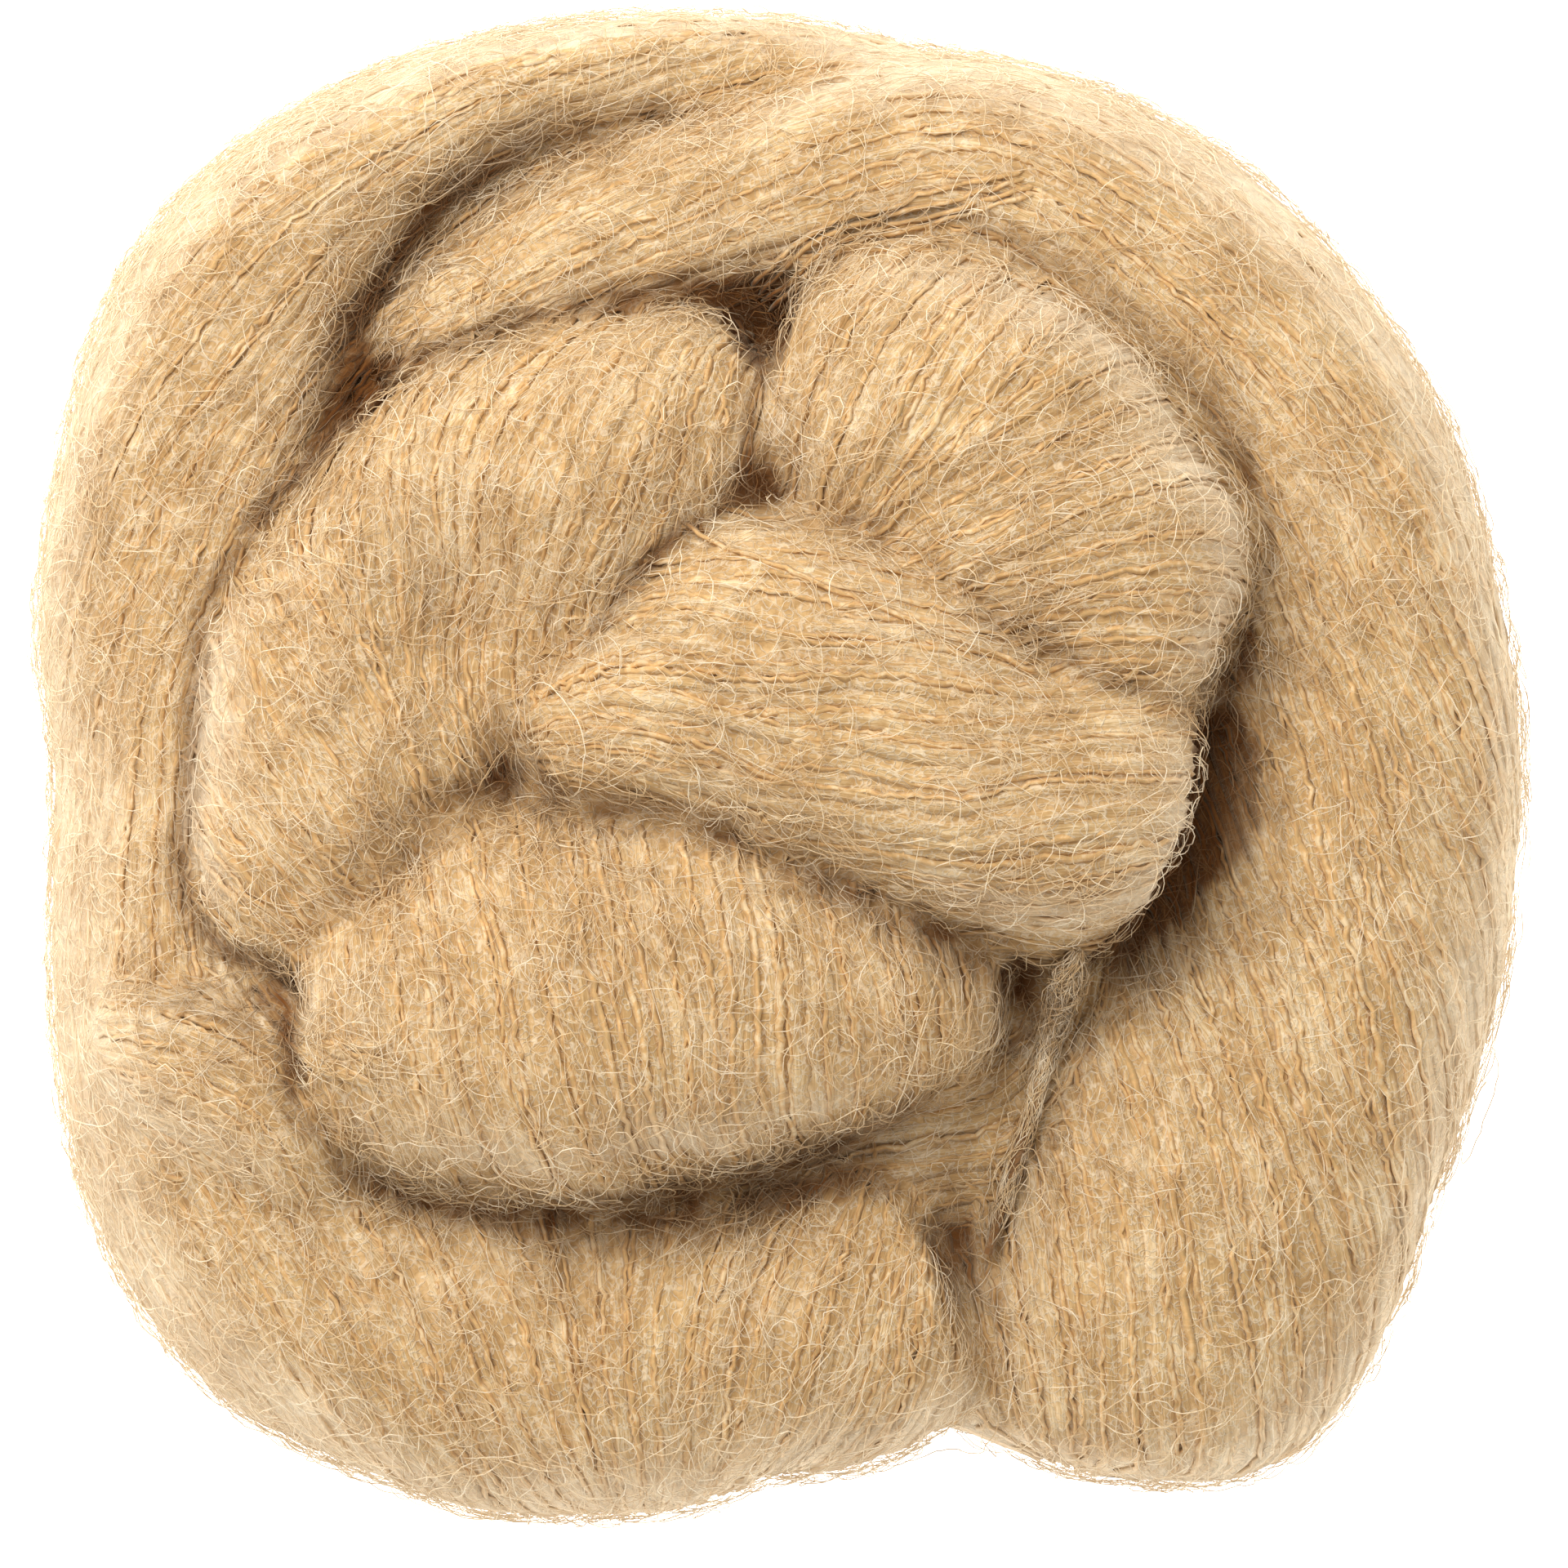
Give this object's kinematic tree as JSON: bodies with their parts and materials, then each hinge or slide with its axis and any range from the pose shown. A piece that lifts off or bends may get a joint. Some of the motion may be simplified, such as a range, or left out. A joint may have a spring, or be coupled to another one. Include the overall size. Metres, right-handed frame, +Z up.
{
  "type": "skein of yarn",
  "caption": "Soft skein of brushed yarn, one long hank twisted and coiled into a rounded nest of overlapping folds with a small loose end, lying flat.",
  "frame": {"origin": "centre of the coil, on the surface it lies on", "axes": "+Z up, +Y towards the top edge of the coil as seen from above in the picture"},
  "size_m": [0.1506, 0.1528, 0.0535],
  "materials": {
    "yarn": "brushed camel-coloured yarn with a soft halo of fine fibres"
  },
  "bodies": {
    "root": {"hank": "yarn", "yarn_end": "yarn"}
  },
  "joints": []
}
